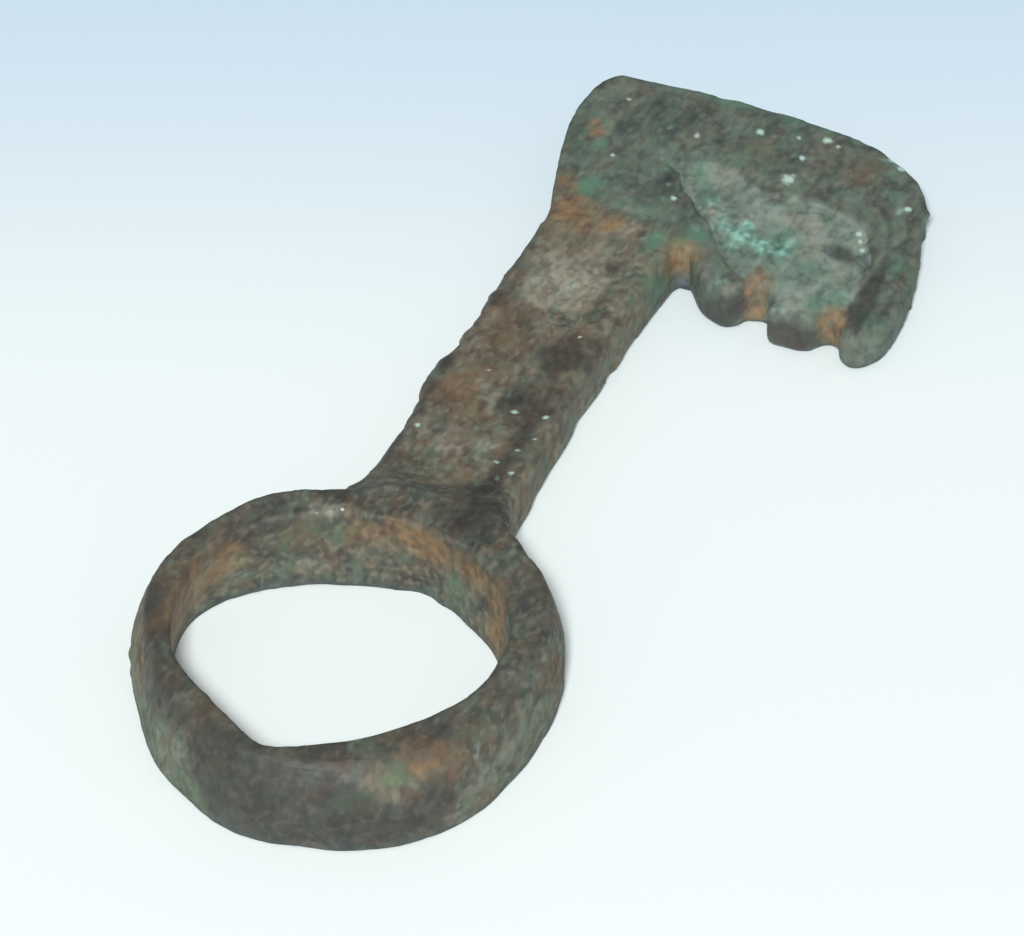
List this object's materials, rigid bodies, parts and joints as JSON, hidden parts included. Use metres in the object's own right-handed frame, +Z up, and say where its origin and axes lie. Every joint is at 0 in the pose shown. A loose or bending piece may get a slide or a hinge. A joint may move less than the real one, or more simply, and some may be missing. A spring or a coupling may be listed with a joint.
{
  "type": "bronze ring key",
  "caption": "Small corroded bronze key with a finger-ring bow, a flat bar shank and a notched plate bit standing out to one side.",
  "frame": {"origin": "under the middle of the whole key, on the surface that it lies on", "axes": "+X from the bow to the bit, +Z up from the surface, the bit stands out towards -Y"},
  "size_m": [0.0666, 0.0288, 0.0053],
  "materials": {
    "bronze_bow": "dark brown and olive patina with green spots",
    "bronze_shank": "brown patina with pale crust and pits",
    "bronze_bit": "dark crust with grey-green and turquoise patina"
  },
  "bodies": {
    "root": {"bow_ring": "bronze_bow", "shank": "bronze_shank", "bit": "bronze_bit"}
  },
  "joints": []
}
